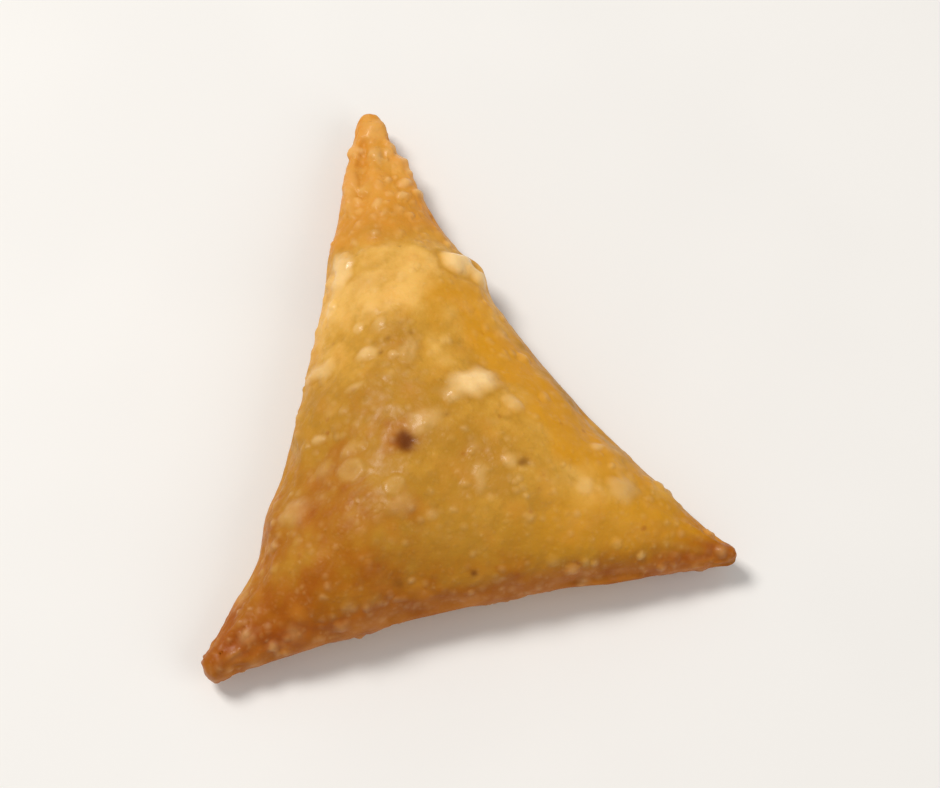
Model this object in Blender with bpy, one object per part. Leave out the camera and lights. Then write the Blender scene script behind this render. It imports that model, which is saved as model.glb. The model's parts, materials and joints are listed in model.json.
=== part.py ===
"""A fried samosa: a strip of thin dough folded round its filling into a plump triangle with flaring corners.

Sizes are in millimetres, and the mesh is made in metres, +Z up. X runs along the base fold and +Y towards the tip.
The samosa lies on its belly, and the origin is on the surface below the middle of its box. It is one closed solid:
a domed crown and a flatter belly that meet in a rounded fold all the way round. The outer wrap of the strip ends in
a low ledge below the tip, and its last flap is pasted over the belly, where it ends in another ledge. Where the
layers don't quite close, at a corner, the fold is parted by a small mouth.
"""

import math
from collections import namedtuple

import bmesh
import bpy
import numpy as np

MM = 0.001

# Plan. Corners run anticlockwise seen from above. Each ends blunt, over the width of the folded strip there, droops
# from the level of the fold, and has a mouth between its layers that goes in by a given depth.
Corner = namedtuple("Corner", "x y blunt droop mouth")
CORNERS = (
    Corner(x=-40.4, y=0.4, blunt=3.4, droop=2.6, mouth=0.0),
    Corner(x=40.6, y=0.8, blunt=1.8, droop=2.4, mouth=3.6),
    Corner(x=1.4, y=83.6, blunt=3.6, droop=2.2, mouth=0.6),
)
# The side that follows each corner: how far it is drawn in, where along it that is most, and how far in from the
# fold the crown takes to rise to its full height.
Side = namedtuple("Side", "bow peak fullness")
SIDES = (
    Side(bow=2.0, peak=0.48, fullness=19.0),
    Side(bow=5.9, peak=0.50, fullness=23.0),
    Side(bow=4.3, peak=0.62, fullness=22.0),
)
# Places where the rim stands out from its side or is nicked, as the layers beneath end there.
Nudge = namedtuple("Nudge", "x y reach push")
NUDGES = (
    Nudge(x=12.2, y=53.4, reach=3.4, push=1.8),
    Nudge(x=0.6, y=84.8, reach=2.0, push=0.9),
    Nudge(x=-9.4, y=60.0, reach=3.0, push=0.4),
    Nudge(x=-25.0, y=20.0, reach=4.0, push=0.5),
    Nudge(x=-28.5, y=14.0, reach=5.0, push=-1.1),
    Nudge(x=20.5, y=2.0, reach=6.0, push=0.8),
)
# How even a drawn-in side is along its length, the radius that softens the corners, and the point that the rings
# close in on.
FLATTENING = 0.75
CORNER_SOFTNESS = 1.1
MIDDLE = (0.4, 27.0)

# Section.
FOLD_HEIGHT = 6.9
FOLD_RADIUS = 1.25
CROWN_RISE = 10.4
BELLY_DROP = 7.6
THINNING = 0.85
BELLY_ROUNDING = 1.6
DROOP_REACH = 27.0
# A mouth's reach along the rim, and the share of the way to the middle that its lips take up.
MOUTH_REACH = 6.0
MOUTH_LIP = 0.011

# The two cut ends of the strip: a line across the plan that leaves its far side one layer lower.
Ledge = namedtuple("Ledge", "start end step softness")
WRAP_END = Ledge(start=(-10.5, 59.0), end=(11.0, 57.0), step=1.0, softness=0.8)
FLAP_END = Ledge(start=(-14.0, 55.0), end=(39.0, 9.0), step=0.9, softness=0.7)
LEDGE_FADE = 3.0

# Lumps of filling under the dough and hollows between them, creases pulled towards the corners, and the largest
# blisters on the crown.
Lump = namedtuple("Lump", "x y reach rise")
LUMPS = (
    Lump(x=-14.1, y=10.1, reach=8.5, rise=0.7),
    Lump(x=13.1, y=7.7, reach=9.0, rise=0.5),
    Lump(x=-9.1, y=34.1, reach=7.0, rise=0.6),
    Lump(x=3.7, y=21.1, reach=6.5, rise=-0.45),
    Lump(x=-21.7, y=24.0, reach=6.0, rise=-0.4),
    Lump(x=18.2, y=24.1, reach=6.5, rise=0.4),
    Lump(x=0.0, y=46.8, reach=6.0, rise=0.5),
)
Crease = namedtuple("Crease", "start end width depth")
CREASES = (
    Crease(start=(37.8, 1.9), end=(16.4, 3.8), width=1.3, depth=0.6),
    Crease(start=(-38.2, 2.4), end=(-25.6, 4.9), width=1.4, depth=0.6),
    Crease(start=(-0.5, 79.3), end=(-2.9, 63.6), width=1.2, depth=0.6),
    Crease(start=(2.0, 45.3), end=(14.1, 28.8), width=1.6, depth=0.3),
)
CREASE_SKEW = 0.63
Blister = namedtuple("Blister", "x y length width turn rise")
BLISTERS = (
    Blister(x=6.7, y=31.4, length=8.6, width=5.0, turn=6.0, rise=0.8),
    Blister(x=9.3, y=53.9, length=5.4, width=4.8, turn=-40.0, rise=0.9),
    Blister(x=-13.6, y=22.4, length=4.8, width=4.6, turn=0.0, rise=0.45),
    Blister(x=-7.9, y=16.4, length=4.6, width=4.4, turn=0.0, rise=0.4),
)

# Mesh: rings of triangles from the fold to the middle, closer together near the fold and near the corners.
RINGS = 20
RING_CROWDING = 1.5
CORNER_CROWDING = 0.55
OUTLINE_SAMPLES = 1200

PASTRY_COLOUR = (0.56, 0.29, 0.065, 1.0)
PASTRY_ROUGHNESS = 0.48


def smooth_step(value):
    """0 below 0 and 1 above 1, with a cubic between them."""
    share = np.clip(value, 0.0, 1.0)
    return share * share * (3.0 - 2.0 * share)


def unit(vector):
    """The vector at length 1."""
    return vector / np.linalg.norm(vector, axis=-1, keepdims=True)


def left_of(direction):
    """The direction turned a quarter anticlockwise."""
    return np.stack((-direction[..., 1], direction[..., 0]), axis=-1)


def blunt_ends(index):
    """The two ends of a corner's blunt width, in the order that the outline passes them."""
    corner = CORNERS[index]
    place = np.array((corner.x, corner.y))
    before, after = (CORNERS[(index + k) % 3] for k in (-1, 1))
    across = unit(np.array((after.x - before.x, after.y - before.y)))
    return place - across * corner.blunt / 2, place + across * corner.blunt / 2


def side_chord(index):
    """Start and end of the straight line that a side is drawn in from."""
    return blunt_ends(index)[1], blunt_ends((index + 1) % 3)[0]


def drawn_in(side, share):
    """How far the side lies inside its chord at a share of its length: half a sine wave, flattened, and pushed
    towards its peak."""
    skew = math.log(0.5) / math.log(side.peak)
    wave = np.sin(math.pi * np.clip(share, 0.0, 1.0) ** skew)
    return side.bow * np.maximum(wave, 0.0) ** FLATTENING


def side_points(index, share):
    """Points on a side at shares of its length."""
    start, end = side_chord(index)
    along = end - start
    inward = left_of(unit(along))
    return start + np.outer(share, along) + np.outer(drawn_in(SIDES[index], share), inward)


def evenly_spaced(points, count):
    """The same line as count equal steps."""
    run = np.concatenate(([0.0], np.cumsum(np.linalg.norm(np.diff(points, axis=0), axis=1))))
    wanted = np.linspace(0.0, run[-1], count + 1)
    return np.column_stack([np.interp(wanted, run, points[:, axis]) for axis in range(2)])


def nudged(rim):
    """The closed line with each nudge pushed out along the normal, as a Gaussian of the distance from its place."""
    outward = -left_of(unit(np.roll(rim, -1, axis=0) - np.roll(rim, 1, axis=0)))
    push = np.zeros(len(rim))
    for nudge in NUDGES:
        away = np.linalg.norm(rim - (nudge.x, nudge.y), axis=1) / nudge.reach
        push += nudge.push * np.exp(-(away**2))
    return rim + outward * push[:, None]


def outline():
    """Three stretches of the rim, each from one corner's middle to the next, as arrays of plan points.

    Each stretch is half a blunt end, a side and half a blunt end. The closed line is softened by a Gaussian of
    CORNER_SOFTNESS, taken in the frequency domain, which rounds the corners and leaves the sides alone.
    """
    stretches = []
    for index, corner in enumerate(CORNERS):
        following = CORNERS[(index + 1) % 3]
        points = [(corner.x, corner.y)]
        points += list(side_points(index, np.linspace(0.0, 1.0, 200)))
        points += [(following.x, following.y)]
        stretches.append(evenly_spaced(np.array(points), OUTLINE_SAMPLES))
    rim = np.vstack([stretch[:-1] for stretch in stretches])
    length = np.linalg.norm(np.roll(rim, -1, axis=0) - rim, axis=1).sum()
    waves = np.fft.fftfreq(len(rim), length / len(rim)) * 2.0 * math.pi
    kept = np.exp(-0.5 * (waves * CORNER_SOFTNESS) ** 2)
    soft = np.fft.ifft(np.fft.fft(rim[:, 0] + 1j * rim[:, 1]) * kept)
    soft = nudged(np.column_stack((soft.real, soft.imag)))
    marks = [index * OUTLINE_SAMPLES for index in range(4)]
    closed = np.vstack((soft, soft[:1]))
    return [closed[marks[k] : marks[k + 1] + 1] for k in range(3)]


def rim_points(side, share):
    """The rim's plan points and outward normals at a share of each vertex's side.

    Shares are drawn towards both ends of the side, which puts more of the vertices near the corners.
    """
    points = np.zeros((len(side), 2))
    normals = np.zeros((len(side), 2))
    drawn = share - CORNER_CROWDING * np.sin(2.0 * math.pi * share) / (2.0 * math.pi)
    for index, stretch in enumerate(outline()):
        chosen = side == index
        place = drawn[chosen] * (len(stretch) - 1)
        outward = -left_of(np.gradient(stretch, axis=0))
        steps = np.arange(len(stretch))
        for axis in range(2):
            points[chosen, axis] = np.interp(place, steps, stretch[:, axis])
            normals[chosen, axis] = np.interp(place, steps, outward[:, axis])
    return points, unit(normals)


def mouth_depth(rim):
    """How far the layers are parted at each point of the rim: most at a corner, and nothing MOUTH_REACH from it."""
    depth = np.zeros(len(rim))
    for corner in CORNERS:
        away = np.linalg.norm(rim - (corner.x, corner.y), axis=1)
        depth += corner.mouth * smooth_step(1.0 - away / MOUTH_REACH)
    return depth


def plan_places(weights):
    """Plan position and distance from the fold for every vertex of the sheet.

    weights holds a vertex's three shares of the triangle's corners. The smallest of them gives its ring, counted
    from the rim, and the other two give its place along the ring. Rings are the rim drawn in towards MIDDLE. The
    rim itself goes in under them where there is a mouth.
    """
    smallest = weights.argmin(axis=1)
    side = (smallest + 1) % 3
    rows = np.arange(len(weights))
    least = weights[rows, smallest]
    start, end = weights[rows, side], weights[rows, (side + 1) % 3]
    share = np.clip((end - least) / np.maximum(start + end - 2.0 * least, 1e-9), 0.0, 1.0)
    drawn = np.clip(3.0 * least, 0.0, 1.0) ** RING_CROWDING
    rim, normal = rim_points(side, share)
    inward = np.array(MIDDLE) - rim
    plan = rim + inward * drawn[:, None]
    parted = np.clip(1.0 - drawn / MOUTH_LIP, 0.0, 1.0)
    plan += unit(inward) * (mouth_depth(rim) * parted)[:, None]
    inset = -drawn * (inward * normal).sum(axis=1)
    return plan, inset


def side_distance(index, plan):
    """How far plan points lie inside a side, measured square to its chord."""
    start, end = side_chord(index)
    along = end - start
    length = np.linalg.norm(along)
    share = (plan - start) @ along / length**2
    return (plan - start) @ left_of(along / length) - drawn_in(SIDES[index], share)


def plumpness(plan):
    """1 where the filling is thickest and 0 at the fold: a product of one parabola for each side."""
    full = np.ones(len(plan))
    for index, side in enumerate(SIDES):
        share = np.clip(side_distance(index, plan) / side.fullness, 0.0, 1.0)
        full = full * (1.0 - (1.0 - share) ** 2)
    return full**THINNING


def fold_level(plan):
    """Height of the fold's middle, which droops towards each corner."""
    level = np.full(len(plan), FOLD_HEIGHT)
    for corner in CORNERS:
        away = np.linalg.norm(plan - (corner.x, corner.y), axis=1)
        level -= corner.droop * smooth_step(1.0 - away / DROOP_REACH)
    return level


def past_ledge(ledge, plan):
    """0 on a ledge's upper side and 1 on its lower one, with a short slope between."""
    start, end = np.array(ledge.start), np.array(ledge.end)
    beyond = (plan - start) @ left_of(unit(end - start))
    return smooth_step(0.5 + beyond / (2.0 * ledge.softness))


def lumps(plan):
    """Sum of Gaussian swellings and hollows."""
    rise = np.zeros(len(plan))
    for lump in LUMPS:
        away = np.linalg.norm(plan - (lump.x, lump.y), axis=1) / lump.reach
        rise += lump.rise * np.exp(-(away**2))
    return rise


def creases(plan):
    """Sum of grooves along straight lines, each deepest a third of the way along and gone at its ends."""
    rise = np.zeros(len(plan))
    for crease in CREASES:
        start, end = np.array(crease.start), np.array(crease.end)
        length = np.linalg.norm(end - start)
        along = (end - start) / length
        share = np.clip((plan - start) @ along / length, 0.0, 1.0)
        away = np.linalg.norm(plan - start - np.outer(share * length, along), axis=1) / crease.width
        rise -= crease.depth * np.sin(math.pi * share**CREASE_SKEW) * np.exp(-(away**2))
    return rise


def blisters(plan):
    """Oval domes: each a paraboloid over its own ellipse."""
    rise = np.zeros(len(plan))
    for blister in BLISTERS:
        turn = math.radians(blister.turn)
        along = np.array((math.cos(turn), math.sin(turn)))
        offset = plan - (blister.x, blister.y)
        long_way = offset @ along / (blister.length / 2)
        short_way = offset @ left_of(along) / (blister.width / 2)
        rise = np.maximum(rise, blister.rise * (1.0 - long_way**2 - short_way**2))
    return rise


def fold_rounding(inset):
    """0 at the rim and 1 from FOLD_RADIUS inwards: a quarter circle."""
    share = np.clip(inset / FOLD_RADIUS, 0.0, 1.0)
    return np.sqrt(1.0 - (1.0 - share) ** 2)


def crown_heights(plan, inset):
    """Height of the upper face."""
    full = plumpness(plan)
    near_fold = smooth_step(inset / LEDGE_FADE)
    rise = FOLD_RADIUS + CROWN_RISE * full + lumps(plan) * np.sqrt(full)
    rise += (WRAP_END.step * (1.0 - past_ledge(WRAP_END, plan)) + creases(plan)) * near_fold
    rise += blisters(plan) * smooth_step(inset)
    return fold_level(plan) + rise * fold_rounding(inset)


def belly_heights(plan, inset):
    """Height of the lower face, flattened where it rests, with the flap's ledge stepping up from there.

    It is flat where it would be more than BELLY_ROUNDING below 0, and turns up from there in a parabola.
    """
    free = fold_level(plan) - (FOLD_RADIUS + BELLY_DROP * plumpness(plan)) * fold_rounding(inset)
    turning = np.clip(free + BELLY_ROUNDING, 0.0, 2.0 * BELLY_ROUNDING)
    rested = turning**2 / (4.0 * BELLY_ROUNDING) + np.maximum(free - BELLY_ROUNDING, 0.0)
    return rested + FLAP_END.step * past_ledge(FLAP_END, plan) * smooth_step(inset / LEDGE_FADE)


def triangle_sheet():
    """A flat triangle cut into even rings, whose vertices hold their shares of the three corners.

    Its three outermost triangles are left off, as the crown's and the belly's would coincide there.
    """
    sheet = bmesh.new()
    sheet.faces.new([sheet.verts.new(weights) for weights in np.eye(3)])
    bmesh.ops.subdivide_edges(sheet, edges=sheet.edges[:], cuts=3 * RINGS - 1, use_grid_fill=True)
    corners = [vertex for vertex in sheet.verts if len(vertex.link_faces) == 1]
    bmesh.ops.delete(sheet, geom=corners, context="VERTS")
    return sheet


def shape_sheet(sheet, heights):
    """Moves a sheet's vertices to their plan places at the given heights."""
    weights = np.array([vertex.co for vertex in sheet.verts])
    plan, inset = plan_places(weights)
    for vertex, place, height in zip(sheet.verts, plan, heights(plan, inset)):
        vertex.co = (place[0], place[1], height)


def centre(shell):
    """Moves the shell so that the middle of its box is over the origin, and its belly at height 0."""
    places = np.array([vertex.co for vertex in shell.verts])
    low, high = places.min(axis=0), places.max(axis=0)
    shift = (-(low[0] + high[0]) / 2, -(low[1] + high[1]) / 2, -low[2])
    bmesh.ops.translate(shell, verts=shell.verts[:], vec=shift)


def samosa_mesh():
    """The crown and the belly as two shaped sheets, welded along the rim into one closed shell."""
    shell = triangle_sheet()
    shape_sheet(shell, crown_heights)
    crown = bpy.data.meshes.new("crown")
    shell.to_mesh(crown)
    shell.free()

    shell = triangle_sheet()
    shape_sheet(shell, belly_heights)
    bmesh.ops.reverse_faces(shell, faces=shell.faces[:])
    shell.from_mesh(crown)
    bpy.data.meshes.remove(crown)
    rim = [vertex for vertex in shell.verts if vertex.is_boundary]
    bmesh.ops.remove_doubles(shell, verts=rim, dist=0.01)
    centre(shell)
    bmesh.ops.scale(shell, verts=shell.verts[:], vec=(MM, MM, MM))
    mesh = bpy.data.meshes.new("samosa")
    shell.to_mesh(mesh)
    shell.free()
    return mesh


def pastry():
    """Fried dough: golden, slightly glossy, not metallic."""
    material = bpy.data.materials.new("fried_pastry")
    material.use_nodes = True
    shader = material.node_tree.nodes["Principled BSDF"]
    shader.inputs["Base Color"].default_value = PASTRY_COLOUR
    shader.inputs["Roughness"].default_value = PASTRY_ROUGHNESS
    shader.inputs["Metallic"].default_value = 0.0
    return material


def main():
    """Clears the scene and builds the samosa."""
    for thing in list(bpy.data.objects):
        bpy.data.objects.remove(thing)
    mesh = samosa_mesh()
    mesh.materials.append(pastry())
    mesh.shade_smooth()
    bpy.context.scene.collection.objects.link(bpy.data.objects.new("samosa", mesh))


main()
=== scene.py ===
"""Looks of a fried samosa: a strip of thin dough folded round its filling into a plump triangle.

The construction model is one closed solid. Here the same crown, belly, folds and ledges are worked out again on a
much finer lattice, which then gets what frying gives the dough: blisters, ripples, drawn creases, parted layers and
browning, with painted light and shade laid into the browning and the grooves. All sizes are in millimetres until a
mesh is placed in the frame, which is in metres, with +Z up, X along the base fold and +Y towards the tip.
"""

from __future__ import annotations

import json
import logging
import math
from dataclasses import dataclass, field
from enum import Enum

import bpy
import numpy as np
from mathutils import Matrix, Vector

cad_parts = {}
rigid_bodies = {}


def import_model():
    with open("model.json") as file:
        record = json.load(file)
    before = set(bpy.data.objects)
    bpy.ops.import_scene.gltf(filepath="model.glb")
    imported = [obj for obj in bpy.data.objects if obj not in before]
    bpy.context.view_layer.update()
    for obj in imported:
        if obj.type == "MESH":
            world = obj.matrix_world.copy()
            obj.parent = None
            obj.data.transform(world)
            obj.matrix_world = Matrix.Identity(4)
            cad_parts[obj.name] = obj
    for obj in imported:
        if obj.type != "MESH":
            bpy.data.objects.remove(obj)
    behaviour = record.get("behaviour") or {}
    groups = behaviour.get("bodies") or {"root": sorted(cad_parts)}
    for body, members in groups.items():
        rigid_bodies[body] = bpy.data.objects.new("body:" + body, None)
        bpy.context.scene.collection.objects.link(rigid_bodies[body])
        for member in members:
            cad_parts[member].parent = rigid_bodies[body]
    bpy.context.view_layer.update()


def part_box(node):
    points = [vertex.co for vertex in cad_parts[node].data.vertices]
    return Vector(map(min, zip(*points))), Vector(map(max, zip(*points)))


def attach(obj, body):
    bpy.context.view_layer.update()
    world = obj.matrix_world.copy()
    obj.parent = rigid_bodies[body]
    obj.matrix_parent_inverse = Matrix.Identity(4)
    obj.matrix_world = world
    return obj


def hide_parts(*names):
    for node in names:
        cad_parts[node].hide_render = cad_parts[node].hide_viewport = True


LOG = logging.getLogger("samosa")
MM = 0.001

Colour = tuple[float, float, float]


# ---------------------------------------------------------------------------------------------------------------
# Small pieces of mathematics
# ---------------------------------------------------------------------------------------------------------------


def smooth_step(value: np.ndarray) -> np.ndarray:
    """0 below 0 and 1 above 1, with the cubic 3t^2 - 2t^3 between them."""
    share = np.clip(value, 0.0, 1.0)
    return share * share * (3.0 - 2.0 * share)


def unit(vectors: np.ndarray) -> np.ndarray:
    """Vectors at length 1."""
    return vectors / np.maximum(np.linalg.norm(vectors, axis=-1, keepdims=True), 1e-12)


def left_of(direction: np.ndarray) -> np.ndarray:
    """Plan directions turned a quarter anticlockwise."""
    return np.stack((-direction[..., 1], direction[..., 0]), axis=-1)


def ripples(points: np.ndarray, wavelength: float, seed: int, waves: int = 36) -> np.ndarray:
    """Smooth noise of about unit size: the sum of plane sine waves in random directions, with random phases.

    Args:
        points: Places in millimetres, one row each, in the plan or in space.
        wavelength: Middle wavelength in millimetres; single waves are from 0.65 to 1.5 of it.
        seed: Seed of the random directions and phases.
        waves: How many waves are added.

    Returns:
        One value for each point.
    """
    random = np.random.default_rng(seed)
    direction = unit(random.normal(size=(waves, points.shape[1])))
    number = 2.0 * math.pi / (wavelength * random.uniform(0.65, 1.5, waves))
    phase = random.uniform(0.0, 2.0 * math.pi, waves)
    total = np.zeros(len(points))
    for k in range(waves):
        total += np.sin(points @ direction[k] * number[k] + phase[k])
    return total * math.sqrt(2.0 / waves)


# ---------------------------------------------------------------------------------------------------------------
# What the samosa is described with
# ---------------------------------------------------------------------------------------------------------------


@dataclass(frozen=True)
class Corner:
    """A corner of the plan: its place, the width it ends blunt over, its droop, and how deep its layers part."""

    x: float
    y: float
    blunt: float
    droop: float
    mouth: float


@dataclass(frozen=True)
class Side:
    """A side of the plan: how far it is drawn in, where that is most, and how far in the crown takes to rise."""

    bow: float
    peak: float
    fullness: float


@dataclass(frozen=True)
class Nudge:
    """A place where the rim stands out from its side, or is nicked."""

    x: float
    y: float
    reach: float
    push: float


@dataclass(frozen=True)
class Ledge:
    """A cut end of the strip: a line whose far side lies one layer lower."""

    start: tuple[float, float]
    end: tuple[float, float]
    step: float
    softness: float


@dataclass(frozen=True)
class Lump:
    """A Gaussian swelling over the filling, or a hollow between lumps of it."""

    x: float
    y: float
    reach: float
    rise: float


@dataclass(frozen=True)
class Crease:
    """A groove that folding has drawn in the dough, along a straight line."""

    start: tuple[float, float]
    end: tuple[float, float]
    width: float
    depth: float


class BlisterKind(Enum):
    """How a blister's skin has set."""

    DOME = "dome"
    RING = "ring"
    BEAN = "bean"
    PIT = "pit"


@dataclass(frozen=True)
class Blister:
    """A large blister at a known place on the crown, with how pale and how brown its skin is, from 0 to 1; on the
    brightest blisters the paleness is partly a painted highlight.
    """

    x: float
    y: float
    length: float
    width: float
    turn: float
    rise: float
    kind: BlisterKind = BlisterKind.DOME
    pale_and_highlight: float = 0.0
    brown: float = 0.0


@dataclass(frozen=True)
class Scatter:
    """A sowing of small blisters, with its share on the open dough and along the folds."""

    count: int
    smallest: float
    largest: float
    bias: float
    rise: float
    pale_and_highlight: float
    open: float
    edge: float
    seed: int


@dataclass(frozen=True)
class BrowningAndShadePatch:
    """A patch of the crown that is browner, or paler where its value is negative, than its surroundings.
    Some patches are browning; those at the lower left are partly painted shade, and the paler ones on the right and
    near the base are painted light.
    """

    x: float
    y: float
    reach: float
    tan: float


# ---------------------------------------------------------------------------------------------------------------
# The plan
# ---------------------------------------------------------------------------------------------------------------


@dataclass
class Plan:
    """The samosa's outline seen from above, and the places that a triangular lattice takes inside it."""

    corners: tuple[Corner, ...] = (
        Corner(x=-40.4, y=0.4, blunt=3.4, droop=2.6, mouth=0.0),
        Corner(x=40.6, y=0.8, blunt=1.8, droop=2.4, mouth=3.6),
        Corner(x=1.4, y=83.6, blunt=3.6, droop=2.2, mouth=0.6),
    )
    sides: tuple[Side, ...] = (
        Side(bow=2.0, peak=0.48, fullness=19.0),
        Side(bow=5.9, peak=0.50, fullness=23.0),
        Side(bow=4.3, peak=0.62, fullness=22.0),
    )
    nudges: tuple[Nudge, ...] = (
        Nudge(x=12.2, y=53.4, reach=3.4, push=1.8),
        Nudge(x=0.6, y=84.8, reach=2.0, push=0.9),
        Nudge(x=-9.4, y=60.0, reach=3.0, push=0.4),
        Nudge(x=-25.0, y=20.0, reach=4.0, push=0.5),
        Nudge(x=-28.5, y=14.0, reach=5.0, push=-1.1),
        Nudge(x=20.5, y=2.0, reach=6.0, push=0.8),
    )
    middle: tuple[float, float] = (0.4, 27.0)
    softness: float = 1.1
    flattening: float = 0.75
    rings: int = 102
    ring_crowding: float = 1.12
    corner_crowding: float = 0.25
    mouth_reach: float = 6.0
    mouth_lip: float = 0.011
    samples: int = 1200
    stretches: list[np.ndarray] = field(init=False)

    def __post_init__(self) -> None:
        """Works the outline out once."""
        self.stretches = self._outline()

    def _blunt_ends(self, index: int) -> tuple[np.ndarray, np.ndarray]:
        """The two ends of a corner's blunt width, in the order that the outline passes them."""
        place = np.array((self.corners[index].x, self.corners[index].y))
        before, after = (self.corners[(index + k) % 3] for k in (-1, 1))
        across = unit(np.array((after.x - before.x, after.y - before.y)))
        half = across * self.corners[index].blunt / 2
        return place - half, place + half

    def chord(self, index: int) -> tuple[np.ndarray, np.ndarray]:
        """Start and end of the straight line that a side is drawn in from."""
        return self._blunt_ends(index)[1], self._blunt_ends((index + 1) % 3)[0]

    def drawn_in(self, index: int, share: np.ndarray) -> np.ndarray:
        """How far a side lies inside its chord: bow times a flattened half sine of the share, skewed to its peak."""
        side = self.sides[index]
        skew = math.log(0.5) / math.log(side.peak)
        wave = np.sin(math.pi * np.clip(share, 0.0, 1.0) ** skew)
        return side.bow * np.maximum(wave, 0.0) ** self.flattening

    def _evenly_spaced(self, points: np.ndarray) -> np.ndarray:
        """The same line as `samples` equal steps."""
        steps = np.linalg.norm(np.diff(points, axis=0), axis=1)
        run = np.concatenate(([0.0], np.cumsum(steps)))
        wanted = np.linspace(0.0, run[-1], self.samples + 1)
        return np.column_stack([np.interp(wanted, run, points[:, axis]) for axis in range(2)])

    def _nudged(self, rim: np.ndarray) -> np.ndarray:
        """The closed line with each nudge pushed out along the normal, as a Gaussian of the distance to it."""
        outward = -left_of(unit(np.roll(rim, -1, axis=0) - np.roll(rim, 1, axis=0)))
        push = np.zeros(len(rim))
        for nudge in self.nudges:
            away = np.linalg.norm(rim - (nudge.x, nudge.y), axis=1) / nudge.reach
            push += nudge.push * np.exp(-(away**2))
        return rim + outward * push[:, None]

    def _outline(self) -> list[np.ndarray]:
        """Three stretches of the rim, each from one corner's middle to the next.

        Each is half a blunt end, a drawn-in side and half a blunt end. The closed line is then blurred by a Gaussian
        of `softness` in the frequency domain, which rounds the corners and leaves the long sides alone.
        """
        lines = []
        share = np.linspace(0.0, 1.0, 200)
        for index, corner in enumerate(self.corners):
            start, end = self.chord(index)
            inward = left_of(unit(end - start))
            side = start + np.outer(share, end - start) + np.outer(self.drawn_in(index, share), inward)
            following = self.corners[(index + 1) % 3]
            line = np.vstack(((corner.x, corner.y), side, (following.x, following.y)))
            lines.append(self._evenly_spaced(line))
        rim = np.vstack([line[:-1] for line in lines])
        length = np.linalg.norm(np.roll(rim, -1, axis=0) - rim, axis=1).sum()
        waves = np.fft.fftfreq(len(rim), length / len(rim)) * 2.0 * math.pi
        kept = np.exp(-0.5 * (waves * self.softness) ** 2)
        soft = np.fft.ifft(np.fft.fft(rim[:, 0] + 1j * rim[:, 1]) * kept)
        soft = self._nudged(np.column_stack((soft.real, soft.imag)))
        closed = np.vstack((soft, soft[:1]))
        return [closed[k * self.samples : (k + 1) * self.samples + 1] for k in range(3)]

    def _rim(self, side: np.ndarray, share: np.ndarray) -> tuple[np.ndarray, np.ndarray]:
        """The rim's points and outward normals at a share of each vertex's side, closer together at its ends."""
        points = np.zeros((len(side), 2))
        normals = np.zeros((len(side), 2))
        drawn = share - self.corner_crowding * np.sin(2.0 * math.pi * share) / (2.0 * math.pi)
        steps = np.arange(self.samples + 1)
        for index, stretch in enumerate(self.stretches):
            chosen = side == index
            outward = -left_of(np.gradient(stretch, axis=0))
            for axis in range(2):
                place = drawn[chosen] * self.samples
                points[chosen, axis] = np.interp(place, steps, stretch[:, axis])
                normals[chosen, axis] = np.interp(place, steps, outward[:, axis])
        return points, unit(normals)

    def places(self, weights: np.ndarray) -> tuple[np.ndarray, np.ndarray]:
        """Plan place and distance from the fold of every lattice vertex.

        The smallest of a vertex's three shares gives its ring, and the other two its place along that ring. A ring
        is the rim drawn in towards the middle. Where there is a mouth, the outermost rings go in under the others.

        Args:
            weights: The three shares of the corners, one row for each vertex.

        Returns:
            Plan places, and how far each lies inside the rim, measured square to it.
        """
        smallest = weights.argmin(axis=1)
        side = (smallest + 1) % 3
        rows = np.arange(len(weights))
        least = weights[rows, smallest]
        start, end = weights[rows, side], weights[rows, (side + 1) % 3]
        share = np.clip((end - least) / np.maximum(start + end - 2.0 * least, 1e-9), 0.0, 1.0)
        drawn = np.clip(3.0 * least, 0.0, 1.0) ** self.ring_crowding
        rim, normal = self._rim(side, share)
        inward = np.array(self.middle) - rim
        parted = np.clip(1.0 - drawn / self.mouth_lip, 0.0, 1.0)
        plan = rim + inward * drawn[:, None] + unit(inward) * (self._mouth_depth(rim) * parted)[:, None]
        inset = -drawn * (inward * normal).sum(axis=1)
        return plan, inset

    def _mouth_depth(self, rim: np.ndarray) -> np.ndarray:
        """How far the layers are parted at each point of the rim: most at a corner, gone at the reach."""
        depth = np.zeros(len(rim))
        for corner in self.corners:
            away = np.linalg.norm(rim - (corner.x, corner.y), axis=1)
            depth += corner.mouth * smooth_step(1.0 - away / self.mouth_reach)
        return depth

    def side_distance(self, index: int, plan: np.ndarray) -> np.ndarray:
        """How far plan points lie inside a side, measured square to its chord."""
        start, end = self.chord(index)
        length = np.linalg.norm(end - start)
        along = (end - start) / length
        share = (plan - start) @ along / length
        return (plan - start) @ left_of(along) - self.drawn_in(index, share)

    def corner_distance(self, index: int, plan: np.ndarray) -> np.ndarray:
        """Distance of plan points from a corner."""
        corner = self.corners[index]
        return np.linalg.norm(plan - (corner.x, corner.y), axis=1)


# ---------------------------------------------------------------------------------------------------------------
# The folded form
# ---------------------------------------------------------------------------------------------------------------


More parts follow.
